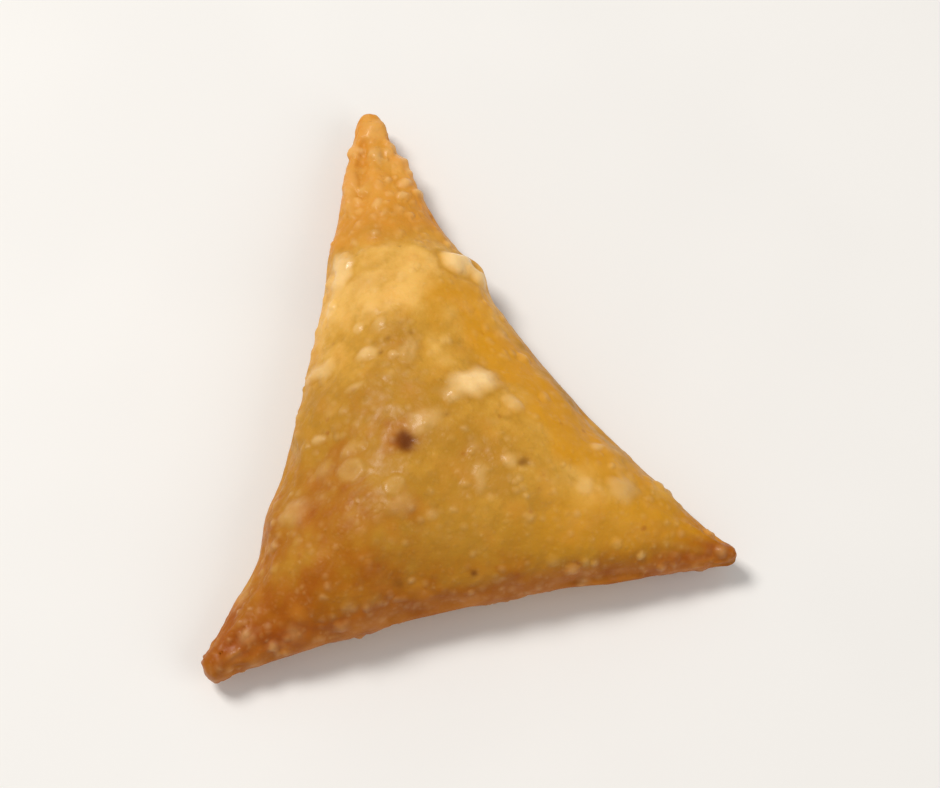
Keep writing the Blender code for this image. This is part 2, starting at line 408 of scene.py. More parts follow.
@dataclass
class FoldedForm:
    """Heights of the crown and the belly over the plan."""

    plan: Plan
    fold_height: float = 6.9
    fold_radius: float = 1.25
    crown_rise: float = 10.4
    belly_drop: float = 7.6
    thinning: float = 0.85
    belly_rounding: float = 1.6
    droop_reach: float = 27.0
    ledge_fade: float = 3.0
    wrap_end: Ledge = Ledge(start=(-10.5, 59.0), end=(11.0, 57.0), step=0.8, softness=1.3)
    flap_end: Ledge = Ledge(start=(-14.0, 55.0), end=(39.0, 9.0), step=0.9, softness=0.7)
    lumps: tuple[Lump, ...] = (
        Lump(x=-14.1, y=10.1, reach=8.5, rise=0.7),
        Lump(x=13.1, y=7.7, reach=9.0, rise=0.5),
        Lump(x=-9.1, y=34.1, reach=7.0, rise=0.6),
        Lump(x=3.7, y=21.1, reach=6.5, rise=-0.45),
        Lump(x=-21.7, y=24.0, reach=6.0, rise=-0.4),
        Lump(x=18.2, y=24.1, reach=6.5, rise=0.4),
        Lump(x=0.0, y=46.8, reach=6.0, rise=0.5),
    )
    creases: tuple[Crease, ...] = (
        Crease(start=(37.8, 1.9), end=(16.4, 3.8), width=1.3, depth=0.6),
        Crease(start=(-38.2, 2.4), end=(-25.6, 4.9), width=1.4, depth=0.6),
        Crease(start=(-0.5, 79.3), end=(-2.9, 63.6), width=1.2, depth=0.6),
        Crease(start=(2.0, 45.3), end=(14.1, 28.8), width=1.6, depth=0.3),
        Crease(start=(6.4, 66.2), end=(-1.6, 63.6), width=0.8, depth=0.25),
    )

    def plumpness(self, plan: np.ndarray) -> np.ndarray:
        """1 where the filling is thickest and 0 at the fold: a product of one parabola for each side."""
        full = np.ones(len(plan))
        for index, side in enumerate(self.plan.sides):
            share = np.clip(self.plan.side_distance(index, plan) / side.fullness, 0.0, 1.0)
            full = full * (1.0 - (1.0 - share) ** 2)
        return full**self.thinning

    def fold_level(self, plan: np.ndarray) -> np.ndarray:
        """Height of the fold's middle, which droops towards each corner."""
        level = np.full(len(plan), self.fold_height)
        for index, corner in enumerate(self.plan.corners):
            away = self.plan.corner_distance(index, plan)
            level -= corner.droop * smooth_step(1.0 - away / self.droop_reach)
        return level

    def beyond(self, ledge: Ledge, plan: np.ndarray) -> np.ndarray:
        """Distance past a ledge's line, negative on its upper side."""
        start, end = np.array(ledge.start), np.array(ledge.end)
        return (plan - start) @ left_of(unit(end - start))

    def past_ledge(self, ledge: Ledge, plan: np.ndarray, waver: np.ndarray | float = 0.0) -> np.ndarray:
        """0 on a ledge's upper side and 1 on its lower one, with a short slope between, moved along by waver."""
        return smooth_step(0.5 + (self.beyond(ledge, plan) + waver) / (2.0 * ledge.softness))

    def _lumps(self, plan: np.ndarray) -> np.ndarray:
        """Sum of Gaussian swellings and hollows."""
        rise = np.zeros(len(plan))
        for lump in self.lumps:
            away = np.linalg.norm(plan - (lump.x, lump.y), axis=1) / lump.reach
            rise += lump.rise * np.exp(-(away**2))
        return rise

    def crease_depth(self, plan: np.ndarray) -> np.ndarray:
        """Depth of the grooves: a sine along each line, deepest a third of the way, and a Gaussian across it."""
        depth = np.zeros(len(plan))
        for crease in self.creases:
            start, end = np.array(crease.start), np.array(crease.end)
            length = np.linalg.norm(end - start)
            along = (end - start) / length
            share = np.clip((plan - start) @ along / length, 0.0, 1.0)
            away = np.linalg.norm(plan - start - np.outer(share * length, along), axis=1) / crease.width
            depth += crease.depth * np.sin(math.pi * share**0.63) * np.exp(-(away**2))
        return depth

    def _fold_rounding(self, inset: np.ndarray) -> np.ndarray:
        """0 at the rim and 1 from the fold's radius inwards: a quarter circle."""
        share = np.clip(inset / self.fold_radius, 0.0, 1.0)
        return np.sqrt(1.0 - (1.0 - share) ** 2)

    def crown(self, plan: np.ndarray, inset: np.ndarray) -> np.ndarray:
        """Height of the upper face: the fold's level plus a rise that is plumpness, lumps, ledge and creases."""
        full = self.plumpness(plan)
        near_fold = smooth_step(inset / self.ledge_fade)
        waver = 0.35 * ripples(plan, 5.0, seed=41)
        rise = self.fold_radius + self.crown_rise * full + self._lumps(plan) * np.sqrt(full)
        rise += self.wrap_end.step * (1.0 - self.past_ledge(self.wrap_end, plan, waver)) * near_fold
        rise -= self.crease_depth(plan) * near_fold
        return self.fold_level(plan) + rise * self._fold_rounding(inset)

    def belly(self, plan: np.ndarray, inset: np.ndarray) -> np.ndarray:
        """Height of the lower face: a shallower dome, flattened where it would pass below the surface.

        It is flat where it would be more than the rounding below 0, turns up from there in a parabola, and steps up
        by one layer past the flap's end.
        """
        drop = self.fold_radius + self.belly_drop * self.plumpness(plan)
        free = self.fold_level(plan) - drop * self._fold_rounding(inset)
        radius = self.belly_rounding
        turning = np.clip(free + radius, 0.0, 2.0 * radius)
        rested = turning**2 / (4.0 * radius) + np.maximum(free - radius, 0.0)
        waver = 0.3 * ripples(plan, 6.0, seed=43)
        return rested + self.flap_end.step * self.past_ledge(self.flap_end, plan, waver) * smooth_step(
            inset / self.ledge_fade
        )


# ---------------------------------------------------------------------------------------------------------------
# The shell as a mesh
# ---------------------------------------------------------------------------------------------------------------


@dataclass
class Shell:
    """Points, triangles and what else is known at each vertex of the closed crust."""

    points: np.ndarray
    triangles: np.ndarray
    plan: np.ndarray
    inset: np.ndarray
    is_belly: np.ndarray

    def normals(self) -> np.ndarray:
        """Unit normals at the vertices: the sum of the surrounding triangles' cross products."""
        corners = self.points[self.triangles]
        across = np.cross(corners[:, 1] - corners[:, 0], corners[:, 2] - corners[:, 0])
        total = np.zeros_like(self.points)
        for axis in range(3):
            total[:, axis] = np.bincount(
                self.triangles.ravel(), np.repeat(across[:, axis], 3), minlength=len(self.points)
            )
        return unit(total)

    def areas(self) -> np.ndarray:
        """A third of the surrounding triangles' area at each vertex."""
        corners = self.points[self.triangles]
        across = np.cross(corners[:, 1] - corners[:, 0], corners[:, 2] - corners[:, 0])
        share = np.linalg.norm(across, axis=1) / 6.0
        return np.bincount(self.triangles.ravel(), np.repeat(share, 3), minlength=len(self.points))


def lattice(cuts: int) -> tuple[np.ndarray, np.ndarray]:
    """A triangle cut into cuts^2 small ones.

    Row i holds the vertices whose first index is i, and vertex k of it has the shares (cuts - i - k, k, i) / cuts.

    Args:
        cuts: Small triangles along one side.

    Returns:
        Shares of the three corners for each vertex, and the triangles, anticlockwise seen from above.
    """
    row, step = np.meshgrid(np.arange(cuts + 1), np.arange(cuts + 1), indexing="ij")
    inside = row + step <= cuts
    number = np.cumsum(inside.ravel()).reshape(inside.shape) - 1
    row, step = row[inside], step[inside]
    shares = np.column_stack((cuts - row - step, step, row)) / cuts
    up = row + step < cuts
    down = row + step < cuts - 1
    upward = np.column_stack(
        (number[row[up], step[up]], number[row[up], step[up] + 1], number[row[up] + 1, step[up]])
    )
    downward = np.column_stack(
        (
            number[row[down], step[down] + 1],
            number[row[down] + 1, step[down] + 1],
            number[row[down] + 1, step[down]],
        )
    )
    return shares, np.vstack((upward, downward))


def folded_shell(form: FoldedForm) -> Shell:
    """The crown and the belly on one lattice each, sharing the vertices of the rim.

    The three outermost triangles are left off, as the crown's and the belly's would coincide there.
    """
    cuts = 3 * form.plan.rings
    shares, triangles = lattice(cuts)
    plan, inset = form.plan.places(shares)
    at_corner = shares.max(axis=1) > 1.0 - 0.5 / cuts
    triangles = triangles[~at_corner[triangles].any(axis=1)]
    on_rim = shares.min(axis=1) < 0.5 / cuts
    upper = np.column_stack((plan, form.crown(plan, inset)))
    lower = np.column_stack((plan, form.belly(plan, inset)))
    inner = np.flatnonzero(~on_rim)
    partner = np.arange(len(plan))
    partner[inner] = len(plan) + np.arange(len(inner))
    points = np.vstack((upper, lower[inner]))
    faces = np.vstack((triangles, partner[triangles][:, ::-1]))
    used = np.unique(faces)
    renumbered = np.zeros(len(points), dtype=int)
    renumbered[used] = np.arange(len(used))
    return Shell(
        points=points[used],
        triangles=renumbered[faces],
        plan=np.vstack((plan, plan[inner]))[used],
        inset=np.concatenate((inset, inset[inner]))[used],
        is_belly=np.concatenate((np.zeros(len(plan), bool), np.ones(len(inner), bool)))[used],
    )


# ---------------------------------------------------------------------------------------------------------------
# What frying does to the surface, and the light and shade painted on it
# ---------------------------------------------------------------------------------------------------------------


@dataclass
class Crust:
    """Relief pushed out along the normals, and what the finish reads at each vertex."""

    form: FoldedForm
    blisters: tuple[Blister, ...] = (
        # The big one in the middle, in two lobes, with the fainter skins round it; its full paleness is partly a
        # painted highlight on its top.
        Blister(x=6.6, y=32.0, length=8.2, width=5.8, turn=6.0, rise=0.75, pale_and_highlight=1.0),
        Blister(x=3.6, y=30.8, length=5.0, width=4.2, turn=-10.0, rise=0.3, pale_and_highlight=0.36),
        Blister(x=11.6, y=27.4, length=4.0, width=2.6, turn=-50.0, rise=0.3, pale_and_highlight=0.38),
        Blister(x=-1.6, y=27.0, length=6.6, width=4.2, turn=20.0, rise=0.2, pale_and_highlight=0.32),
        Blister(x=-5.1, y=24.4, length=4.8, width=4.0, turn=-40.0, rise=-0.32, kind=BlisterKind.PIT, brown=0.95),
        Blister(x=-4.2, y=23.3, length=3.4, width=2.4, turn=-35.0, rise=-0.1, kind=BlisterKind.PIT, brown=0.45),
        # The two ring shaped ones on the left and their neighbours.
        Blister(x=-13.6, y=22.4, length=4.8, width=4.6, turn=0.0, rise=0.36, kind=BlisterKind.RING, pale_and_highlight=0.28),
        Blister(x=-13.2, y=25.6, length=4.2, width=2.8, turn=15.0, rise=0.2, pale_and_highlight=0.19),
        Blister(x=-7.9, y=18.2, length=3.6, width=3.4, turn=0.0, rise=0.28, kind=BlisterKind.RING, pale_and_highlight=0.24),
        Blister(x=-7.9, y=15.2, length=5.2, width=4.0, turn=10.0, rise=0.25, pale_and_highlight=0.19),
        Blister(x=-3.6, y=13.0, length=2.4, width=2.0, turn=0.0, rise=0.15, pale_and_highlight=0.19),
        # The lower right.
        Blister(x=4.6, y=17.0, length=5.6, width=2.4, turn=80.0, rise=0.2, pale_and_highlight=0.26),
        Blister(x=9.3, y=18.4, length=2.8, width=2.6, turn=0.0, rise=0.25, pale_and_highlight=0.34),
        Blister(x=11.1, y=17.9, length=2.2, width=1.8, turn=0.0, rise=-0.1, kind=BlisterKind.PIT, brown=0.6),
        Blister(x=22.8, y=19.8, length=2.4, width=2.0, turn=0.0, rise=0.3, pale_and_highlight=0.45),
        Blister(x=24.8, y=12.6, length=6.4, width=4.6, turn=20.0, rise=0.3, pale_and_highlight=0.34),
        Blister(x=19.5, y=13.3, length=3.8, width=2.8, turn=20.0, rise=0.25, pale_and_highlight=0.3),
        Blister(x=0.9, y=4.5, length=1.6, width=1.3, turn=0.0, rise=-0.08, kind=BlisterKind.PIT, brown=0.7),
        Blister(x=-10.3, y=4.6, length=2.6, width=1.9, turn=0.0, rise=-0.08, kind=BlisterKind.PIT, brown=0.45),
        # Above the middle.
        Blister(x=-1.5, y=39.2, length=5.4, width=3.8, turn=60.0, rise=0.35, kind=BlisterKind.BEAN, pale_and_highlight=0.34),
        Blister(x=-7.7, y=40.4, length=3.2, width=2.7, turn=20.0, rise=0.4, pale_and_highlight=0.56),
        Blister(x=-4.9, y=44.8, length=3.2, width=2.4, turn=40.0, rise=0.25, pale_and_highlight=0.3),
        Blister(x=-3.9, y=39.0, length=2.2, width=1.8, turn=0.0, rise=0.3, pale_and_highlight=0.38),
        Blister(x=-8.1, y=45.4, length=2.2, width=1.8, turn=30.0, rise=0.25, pale_and_highlight=0.34),
        Blister(x=-10.3, y=35.3, length=3.2, width=1.5, turn=12.0, rise=0.2, pale_and_highlight=0.3),
        Blister(x=-5.9, y=40.0, length=1.4, width=1.1, turn=0.0, rise=-0.07, kind=BlisterKind.PIT, brown=0.45),
        Blister(x=-4.2, y=41.8, length=1.5, width=1.2, turn=40.0, rise=-0.07, kind=BlisterKind.PIT, brown=0.4),
        Blister(x=-0.6, y=41.9, length=1.3, width=1.0, turn=0.0, rise=-0.06, kind=BlisterKind.PIT, brown=0.4),
        Blister(x=-6.9, y=29.9, length=1.8, width=1.3, turn=-30.0, rise=-0.06, kind=BlisterKind.PIT, brown=0.3),
        Blister(x=1.6, y=27.2, length=1.6, width=1.3, turn=0.0, rise=-0.06, kind=BlisterKind.PIT, brown=0.3),
        Blister(x=-5.4, y=52.6, length=9.0, width=4.0, turn=8.0, rise=0.25, pale_and_highlight=0.12),
        # Along the left side.
        Blister(x=-14.6, y=40.7, length=5.2, width=3.2, turn=10.0, rise=0.4, pale_and_highlight=0.55),
        Blister(x=-17.3, y=29.6, length=2.5, width=1.8, turn=0.0, rise=0.3, pale_and_highlight=0.45),
        Blister(x=-23.0, y=19.4, length=6.0, width=4.4, turn=30.0, rise=0.3, pale_and_highlight=0.24),
        Blister(x=-33.6, y=3.6, length=3.2, width=2.6, turn=0.0, rise=0.4, pale_and_highlight=0.19),
        Blister(x=-8.5, y=55.8, length=8.0, width=3.8, turn=68.0, rise=0.5, pale_and_highlight=0.72),
        Blister(x=-11.2, y=50.4, length=3.4, width=1.8, turn=75.0, rise=0.3, pale_and_highlight=0.5),
        # On the right shoulder, a bright one and a second lobe on the edge; their paleness is partly a painted
        # highlight where the shoulder catches the light.
        Blister(x=8.9, y=53.6, length=5.6, width=4.8, turn=-30.0, rise=1.2, pale_and_highlight=1.0),
        Blister(x=11.3, y=51.4, length=4.4, width=2.6, turn=-62.0, rise=0.8, pale_and_highlight=0.8),
        # The neck: a fold down its left side, a cluster of bubbles and the cap of the tip.
        Blister(x=-4.1, y=70.4, length=14.0, width=2.4, turn=77.0, rise=0.45, pale_and_highlight=0.15),
        Blister(x=4.1, y=69.6, length=2.3, width=1.9, turn=30.0, rise=0.5, pale_and_highlight=0.45),
        Blister(x=5.9, y=67.8, length=2.1, width=1.7, turn=-20.0, rise=0.45, pale_and_highlight=0.52),
        Blister(x=3.3, y=67.2, length=1.9, width=1.5, turn=0.0, rise=0.4, pale_and_highlight=0.45),
        Blister(x=1.9, y=70.7, length=1.7, width=1.4, turn=0.0, rise=0.35, pale_and_highlight=0.38),
        Blister(x=5.2, y=72.2, length=2.4, width=1.6, turn=-60.0, rise=0.4, pale_and_highlight=0.49),
        Blister(x=-0.8, y=66.4, length=2.6, width=1.8, turn=40.0, rise=0.3, pale_and_highlight=0.34),
        Blister(x=1.2, y=75.0, length=2.0, width=1.7, turn=0.0, rise=0.35, pale_and_highlight=0.38),
        Blister(x=-1.2, y=77.2, length=1.8, width=1.5, turn=0.0, rise=0.3, pale_and_highlight=0.38),
        Blister(x=-2.2, y=77.6, length=3.2, width=2.2, turn=60.0, rise=0.25, pale_and_highlight=0.3),
        Blister(x=3.8, y=76.8, length=3.0, width=2.2, turn=-60.0, rise=0.3, pale_and_highlight=0.38),
        Blister(x=4.6, y=74.0, length=3.4, width=2.4, turn=-62.0, rise=0.45, pale_and_highlight=0.34),
        Blister(x=1.4, y=80.2, length=5.2, width=4.8, turn=0.0, rise=0.6, pale_and_highlight=0.15),
    )
    scatters: tuple[Scatter, ...] = (
        Scatter(count=50, smallest=1.2, largest=2.4, bias=1.3, rise=0.12, pale_and_highlight=0.2, open=1.0, edge=0.2, seed=5),
        Scatter(count=180, smallest=0.5, largest=1.4, bias=1.8, rise=0.42, pale_and_highlight=0.3, open=0.0, edge=1.0, seed=7),
        Scatter(count=320, smallest=0.4, largest=1.1, bias=1.6, rise=0.28, pale_and_highlight=0.22, open=0.5, edge=0.6, seed=8),
        Scatter(count=1000, smallest=0.22, largest=0.5, bias=1.3, rise=0.28, pale_and_highlight=0.16, open=0.6, edge=0.8, seed=13),
    )
    # Browner and paler patches: the browner ones at the lower left are partly painted shade, and most paler ones, on
    # the right and near the base, are painted light that lifts the shade falling there.
    browning_and_shade_patches: tuple[BrowningAndShadePatch, ...] = (
        BrowningAndShadePatch(x=-19.5, y=17.0, reach=11.0, tan=0.23),
        BrowningAndShadePatch(x=-12.0, y=24.5, reach=6.0, tan=-0.05),
        BrowningAndShadePatch(x=-28.0, y=8.0, reach=9.0, tan=0.10),
        BrowningAndShadePatch(x=-5.4, y=24.8, reach=3.2, tan=0.36),
        BrowningAndShadePatch(x=-3.0, y=41.4, reach=5.2, tan=0.34),
        BrowningAndShadePatch(x=-2.5, y=47.6, reach=4.5, tan=-0.18),
        BrowningAndShadePatch(x=-3.5, y=54.0, reach=4.5, tan=0.12),
        BrowningAndShadePatch(x=6.0, y=46.5, reach=3.5, tan=0.10),
        BrowningAndShadePatch(x=8.0, y=44.0, reach=4.5, tan=-0.16),
        BrowningAndShadePatch(x=3.0, y=37.5, reach=5.0, tan=-0.20),
        BrowningAndShadePatch(x=12.0, y=29.0, reach=7.0, tan=-0.24),
        BrowningAndShadePatch(x=5.0, y=10.5, reach=4.0, tan=-0.20),
        BrowningAndShadePatch(x=19.0, y=18.0, reach=8.0, tan=-0.26),
        BrowningAndShadePatch(x=28.0, y=7.0, reach=8.0, tan=-0.28),
        BrowningAndShadePatch(x=14.0, y=6.0, reach=7.0, tan=-0.14),
    )
    plain_depth: tuple[tuple[float, float], ...] = ((18.0, 0.24), (8.0, 0.09), (3.6, 0.035), (1.6, 0.014))
    browning_noise: tuple[tuple[float, float], ...] = ((15.0, 0.05), (6.0, 0.035), (2.4, 0.025))
    pleat_depth: float = 0.16
    layer_depth: float = 0.12
    layer_spacing: float = 0.85
    calm_inset: float = 0.25
    moat_share: float = 0.09

    def edge_share(self, shell: Shell, reach: float) -> np.ndarray:
        """1 on the rim, falling to 0 at the reach."""
        return 1.0 - smooth_step(shell.inset / reach)

    def corner_share(self, shell: Shell, reach: float) -> np.ndarray:
        """1 at each corner, falling to 0 at the reach."""
        share = np.zeros(len(shell.plan))
        for index in range(3):
            away = self.form.plan.corner_distance(index, shell.plan)
            share = np.maximum(share, smooth_step(1.0 - away / reach))
        return share

    def _pleats(self, shell: Shell) -> np.ndarray:
        """Fine folds that fan out from each corner: noise in the bearing, growing towards the corner."""
        relief = np.zeros(len(shell.plan))
        for index, corner in enumerate(self.form.plan.corners):
            offset = shell.plan - (corner.x, corner.y)
            away = np.linalg.norm(offset, axis=1)
            bearing = np.arctan2(offset[:, 1], offset[:, 0])
            fan = np.column_stack((bearing * 14.0, away * 0.22, shell.is_belly * 9.0))
            strength = smooth_step((30.0 - away) / 24.0) * smooth_step((away - 1.0) / 8.0)
            relief += strength * ripples(fan, 4.0, seed=61 + index)
        return relief * self.pleat_depth

    def _layers(self, shell: Shell) -> np.ndarray:
        """Edges of the layers along the fold near the corners: a cosine of the height above the fold's level."""
        above = shell.points[:, 2] - self.form.fold_level(shell.plan)
        waver = 0.25 * ripples(shell.points, 6.0, seed=71)
        lines = np.cos(2.0 * math.pi * (above + waver) / self.layer_spacing)
        return self.layer_depth * lines * self.edge_share(shell, 1.6) * self.corner_share(shell, 20.0)

    def _plain_relief(self, shell: Shell) -> np.ndarray:
        """Undulations of the dough: noise at a few wavelengths, the finest of them stronger near the edges."""
        relief = np.zeros(len(shell.points))
        edge = self.edge_share(shell, 6.0)
        for k, (wavelength, depth) in enumerate(self.plain_depth):
            gain = 1.0 + edge * k * 0.5
            relief += depth * gain * ripples(shell.points, wavelength, seed=21 + k)
        return relief

    def _known_blisters(self, shell: Shell) -> tuple[np.ndarray, np.ndarray, np.ndarray, np.ndarray]:
        """Relief, moats, paleness and brownness of the large blisters on the crown.

        With r the distance in ellipse radii, wavered a little, a dome is (1 - r^2)^1.4, a ring is a Gaussian wall
        at r = 0.68 over a lower dome, a bean is a dome with a groove along it, and a pit is a Gaussian turned
        inwards. A moat is a Gaussian at r = 1.1, as deep as the blister is high, and gone under another's skin. The
        paler a skin is, the sharper its edge.
        """
        relief, moat, pale_and_highlight, brown = (np.zeros(len(shell.plan)) for _ in range(4))
        waver = np.column_stack((ripples(shell.plan, 3.6, seed=81), ripples(shell.plan, 3.6, seed=82)))
        for blister in self.blisters:
            turn = math.radians(blister.turn)
            along = np.array((math.cos(turn), math.sin(turn)))
            offset = shell.plan + waver * min(0.22, 0.035 * blister.length) - (blister.x, blister.y)
            lengthwise = offset @ along / (blister.length / 2)
            crosswise = offset @ left_of(along) / (blister.width / 2)
            radius = np.hypot(lengthwise, crosswise)
            dome = np.clip(1.0 - radius**2, 0.0, 1.0) ** 1.4
            skin = np.exp(-((radius / 0.8) ** (2.8 + 1.4 * blister.pale_and_highlight)))
            if blister.kind is BlisterKind.RING:
                wall = np.exp(-(((radius - 0.68) / 0.3) ** 2))
                shape, paleness = 0.65 * dome + 0.35 * wall, skin * (0.5 + 0.5 * wall)
            elif blister.kind is BlisterKind.BEAN:
                groove_shade = np.exp(-(((crosswise + 0.25 * lengthwise**2) / 0.3) ** 2))
                shape, paleness = dome * (1.0 - 0.5 * groove_shade), skin * (1.0 - 0.4 * groove_shade)
            elif blister.kind is BlisterKind.PIT:
                shape = np.exp(-1.6 * radius**2)
                paleness, skin = 0.0 * radius, shape
            else:
                shape, paleness = dome, skin
            on_crown = ~shell.is_belly
            rim = max(blister.rise, 0.0) * np.exp(-(((radius - 1.1) / 0.2) ** 2)) * on_crown
            moat = np.maximum(moat, rim)
            relief += blister.rise * shape * on_crown
            pale_and_highlight = np.maximum(pale_and_highlight, blister.pale_and_highlight * paleness * on_crown)
            brown = np.maximum(brown, blister.brown * skin * on_crown)
        return relief, moat * (1.0 - pale_and_highlight), pale_and_highlight, brown

    def _scattered_blisters(self, shell: Shell) -> tuple[np.ndarray, np.ndarray]:
        """Relief and paleness of the small blisters.

        Centres are drawn among the vertices by area and crowding, and kept if no earlier one is too near. A blister
        is (1 - r^2)^1.4 of the distance in space from its centre, over its own radius, with a shallow moat round it.
        """
        relief, pale_and_highlight = np.zeros(len(shell.points)), np.zeros(len(shell.points))
        edge, corner = self.edge_share(shell, 5.0), self.corner_share(shell, 26.0)
        neck = self.form.past_ledge(self.form.wrap_end, shell.plan)
        crowded = 0.7 * edge + 0.35 * corner + 0.8 * neck
        patches = smooth_step(0.5 + 0.45 * ripples(shell.points, 13.0, seed=91))
        areas = shell.areas()
        order = np.argsort(shell.points[:, 0])
        across = shell.points[order, 0]
        wavered = shell.points + 0.08 * np.column_stack(
            [ripples(shell.points, 2.0, seed=95 + axis) for axis in range(3)]
        )
        for scatter in self.scatters:
            random = np.random.default_rng(scatter.seed)
            density = areas * (scatter.open * (0.12 + 0.3 * patches) + scatter.edge * crowded)
            density *= shell.inset > self.calm_inset
            drawn = random.choice(len(density), size=3 * scatter.count, p=density / density.sum())
            share = random.uniform(0.0, 1.0, len(drawn)) ** scatter.bias
            radii = scatter.smallest + (scatter.largest - scatter.smallest) * share
            strengths = random.uniform(0.3, 1.0, len(drawn))
            kept_centres, kept_radii = np.zeros((0, 3)), np.zeros(0)
            for vertex, radius, strength in zip(drawn, radii, strengths):
                if len(kept_radii) >= scatter.count:
                    break
                centre = shell.points[vertex]
                gaps = np.linalg.norm(kept_centres - centre, axis=1) - 0.85 * (kept_radii + radius)
                if (gaps < 0.0).any():
                    continue
                kept_centres = np.vstack((kept_centres, centre))
                kept_radii = np.append(kept_radii, radius)
                first, last = np.searchsorted(across, (centre[0] - 1.6 * radius, centre[0] + 1.6 * radius))
                near = order[first:last]
                away = np.linalg.norm(wavered[near] - centre, axis=1) / radius
                dome = np.clip(1.0 - away**2, 0.0, 1.0) ** 1.4
                moat = np.exp(-(((away - 1.1) / 0.22) ** 2))
                relief[near] += scatter.rise * radius * strength * (dome - 0.14 * moat)
                skin = np.exp(-((away / 0.7) ** 2))
                pale_and_highlight[near] = np.maximum(pale_and_highlight[near], scatter.pale_and_highlight * strength * skin)
        return relief, pale_and_highlight

    def _browning_and_shade(self, shell: Shell) -> np.ndarray:
        """How far the dough is browned, with painted light and shade in it, from 0 to 1.

        The crown is palest just below the wrap's ledge, and deepens towards the base fold and the neck, with a few
        browner and paler patches. The paler upper crown is partly painted light, the deeper base and base fold
        partly painted shade, the browner patches at the lower left partly painted shade, and most paler patches, on
        the right and near the base, painted light that lifts the shade there. The belly, which lay longest in the
        oil, is deeper all over. Noise at three wavelengths breaks it up.
        """
        x, y = shell.plan[:, 0], shell.plan[:, 1]
        past_wrap = self.form.beyond(self.form.wrap_end, shell.plan)
        # Paler towards the top: partly browning, partly painted light on the upper crown that faces the light.
        crown = 0.55 - 0.44 * smooth_step((y - 30.0) / 22.0)
        crown += 0.34 * np.exp(-(((past_wrap - 4.5) / 4.5) ** 2)) + 0.14 * smooth_step(past_wrap / 12.0)
        # Deeper towards the base: partly browning, partly painted shade.
        crown += 0.30 * smooth_step((13.0 - y) / 11.0)
        for browning_and_shade_patch in self.browning_and_shade_patches:
            away = np.linalg.norm(shell.plan - (browning_and_shade_patch.x, browning_and_shade_patch.y), axis=1) / browning_and_shade_patch.reach
            crown += browning_and_shade_patch.tan * np.exp(-(away**2))
        belly = 0.60 + 0.10 * self.form.past_ledge(self.form.flap_end, shell.plan)
        tan = np.where(shell.is_belly, belly, crown)
        # Deeper along the base fold: partly browning, partly painted shade on the fold's rounding.
        tan += 0.34 * self.edge_share(shell, 2.6) * smooth_step((12.0 - y) / 6.0)
        tan += 0.22 * self.corner_share(shell, 18.0) * smooth_step((60.0 - y) / 20.0)
        for k, (wavelength, depth) in enumerate(self.browning_noise):
            tan += depth * ripples(shell.points, wavelength, seed=51 + k)
        return np.clip(tan, 0.0, 1.0)

    def _ochre_shade_and_light_band(self, shell: Shell) -> np.ndarray:
        """A band of brighter yellow along the right side and the right end of the base: along the side it is painted
        shade, the tone of the slope turned away from the light, and at the right end of the base it is painted light
        that lifts the shade falling there.
        """
        x, y = shell.plan[:, 0], shell.plan[:, 1]
        inside = self.form.plan.side_distance(1, shell.plan) + 0.9 * ripples(shell.plan, 7.0, seed=55)
        # Painted shade along the right side, where the slope turns away from the light.
        band = smooth_step((inside - 0.4) / 2.2) * smooth_step((11.5 - inside) / 5.0)
        band *= smooth_step((y - 9.0) / 9.0) * smooth_step((53.0 - y) / 6.0)
        # Painted light at the right end of the base, lifting the shade there.
        base = 0.75 * smooth_step((x - 4.0) / 14.0) * smooth_step((15.0 - y) / 7.0) * smooth_step((y - 2.5) / 3.0)
        return np.maximum(band, base) * ~shell.is_belly

    def _warmth_and_rim_highlight(self, shell: Shell) -> np.ndarray:
        """A rosier tone on the neck, where more layers lie on each other, and along the folds, where it is a painted
        highlight of the fold's edge catching the light.
        """
        neck = smooth_step((self.form.beyond(self.form.wrap_end, shell.plan) + 2.0) / 7.0)
        uneven = 0.08 * ripples(shell.points, 4.0, seed=57)
        # The rose tone on the neck is the dough's own; along the folds it is a painted highlight of their edges.
        return np.clip(0.7 * neck + 0.25 * self.edge_share(shell, 2.0) + uneven, 0.0, 1.0)

    def fry(self, shell: Shell) -> dict[str, np.ndarray]:
        """Pushes the relief out along the normals, and returns what the finish reads.

        Args:
            shell: The smooth shell, whose points are moved.

        Returns:
            A value from 0 to 1 at each vertex under each attribute's name.
        """
        tan, ochre_shade_and_light = self._browning_and_shade(shell), self._ochre_shade_and_light_band(shell)
        known, moat, known_pale_and_highlight, brown = self._known_blisters(shell)
        sown, sown_pale_and_highlight = self._scattered_blisters(shell)
        fine = sown + self._pleats(shell) + self._layers(shell)
        relief = known - moat * self.moat_share + fine + self._plain_relief(shell)
        calm = smooth_step(shell.inset / self.calm_inset)
        resting = shell.is_belly & (shell.points[:, 2] < 0.25)
        relief = np.where(resting, np.minimum(relief, 0.0) * 0.35, relief)
        moved = shell.points + shell.normals() * (relief * (0.25 + 0.75 * calm))[:, None]
        moved[:, 2] = np.maximum(moved[:, 2], 0.0)
        shell.points = moved
        return {
            "tan": tan,
            "ochre_shade_and_light": ochre_shade_and_light,
            "warm_and_rim_light": self._warmth_and_rim_highlight(shell),
            "pale_and_highlight": np.clip(np.maximum(known_pale_and_highlight, sown_pale_and_highlight), 0.0, 1.0),
            "spot": np.clip(brown, 0.0, 1.0),
            # Painted shade: darker in the creases, in the moats round the blisters and in the hollows of the fine
            # relief.
            "groove_shade": np.clip(self.form.crease_depth(shell.plan) * 1.5 + moat * 0.6 - fine * 3.0, 0.0, 1.0),
        }


# ---------------------------------------------------------------------------------------------------------------
# Shading
# ---------------------------------------------------------------------------------------------------------------


